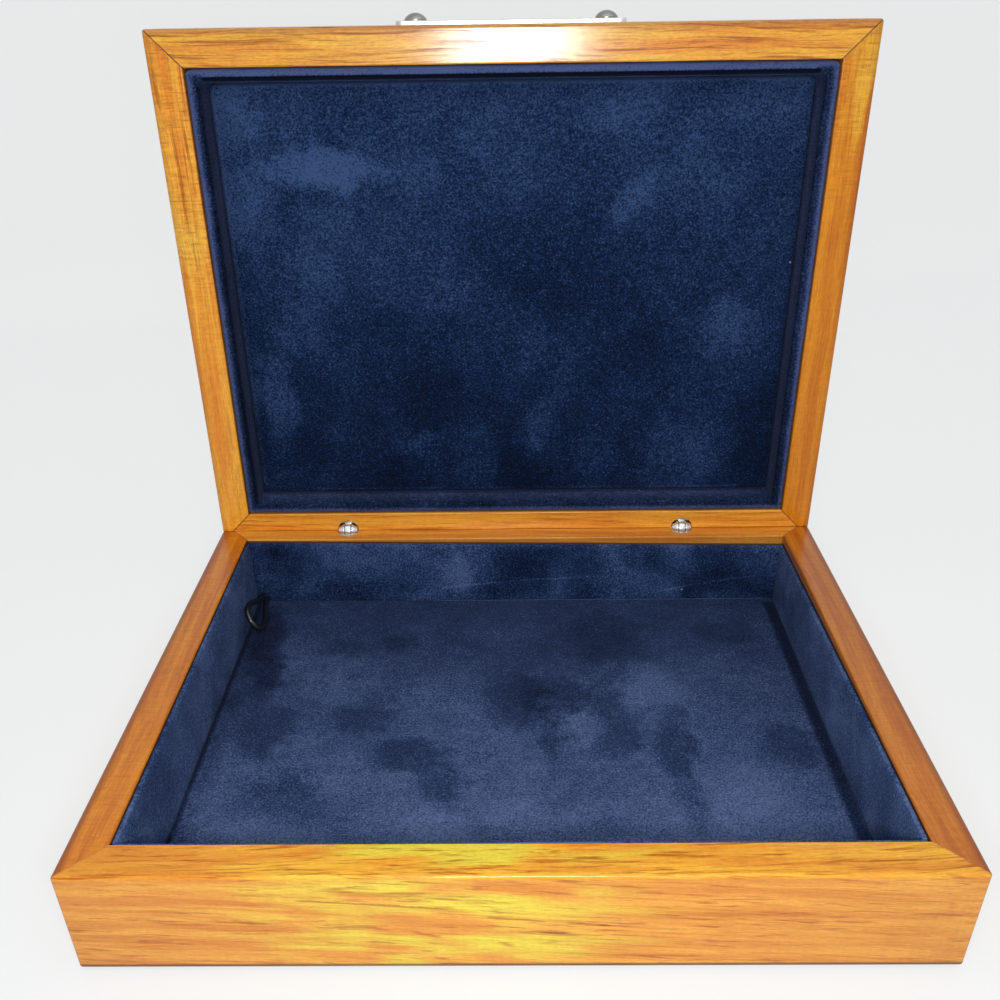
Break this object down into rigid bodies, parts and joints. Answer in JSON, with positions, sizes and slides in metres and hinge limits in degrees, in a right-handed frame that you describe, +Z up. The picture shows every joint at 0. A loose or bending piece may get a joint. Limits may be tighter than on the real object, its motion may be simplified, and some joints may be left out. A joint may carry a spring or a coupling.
{
  "type": "cufflink display box",
  "caption": "Lacquered wooden display box with mitred rails, suede lining, a padded lid standing open on concealed barrel hinges, a bare metal name plate and a small pull loop.",
  "frame": {"origin": "centre of the underside, on the surface that the box stands on", "axes": "+X to the right, +Y from the front to the hinge side, +Z up"},
  "size_m": [0.229, 0.197, 0.2115],
  "materials": {
    "lacquered_wood": "honey brown straight-grained wood under clear gloss lacquer",
    "panel_wood": "honey brown veneered panel under clear gloss lacquer",
    "tray_suede": "navy suede cloth over card",
    "lid_suede": "navy suede cloth over thin foam",
    "lining_card": "grey-brown board",
    "underside_felt": "black felt",
    "loop_cord": "black woven cord",
    "polished_nickel": "polished nickel plate",
    "plate_nickel": "polished nickel plate"
  },
  "bodies": {
    "base": {"base_front_rail": "lacquered_wood", "base_back_rail": "lacquered_wood", "base_left_rail": "lacquered_wood", "base_right_rail": "lacquered_wood", "base_bottom_panel": "panel_wood", "base_underside_felt": "underside_felt", "base_lining_front": "tray_suede", "base_lining_back": "tray_suede", "base_lining_left": "tray_suede", "base_lining_right": "tray_suede", "base_floor_board": "lining_card", "base_floor_pad": "tray_suede", "pull_loop": "loop_cord", "hinge_lower_barrel_left": "polished_nickel", "hinge_lower_barrel_right": "polished_nickel", "hinge_pin_left": "polished_nickel", "hinge_pin_right": "polished_nickel"},
    "lid": {"lid_front_rail": "lacquered_wood", "lid_back_rail": "lacquered_wood", "lid_left_rail": "lacquered_wood", "lid_right_rail": "lacquered_wood", "lid_top_panel": "panel_wood", "lid_lining_front": "lid_suede", "lid_lining_back": "lid_suede", "lid_lining_left": "lid_suede", "lid_lining_right": "lid_suede", "lid_pad_board": "lining_card", "lid_pad": "lid_suede", "name_plate": "plate_nickel", "plate_pin_left": "polished_nickel", "plate_pin_right": "polished_nickel", "hinge_upper_barrel_left": "polished_nickel", "hinge_upper_barrel_right": "polished_nickel"}
  },
  "joints": [
    {"name": "lid_hinge", "type": "hinge", "parent": "base", "child": "lid", "pos_m": [0, 0.085, 0.0345], "axis": [1, 0, 0], "range_deg": [0, 92]}
  ]
}
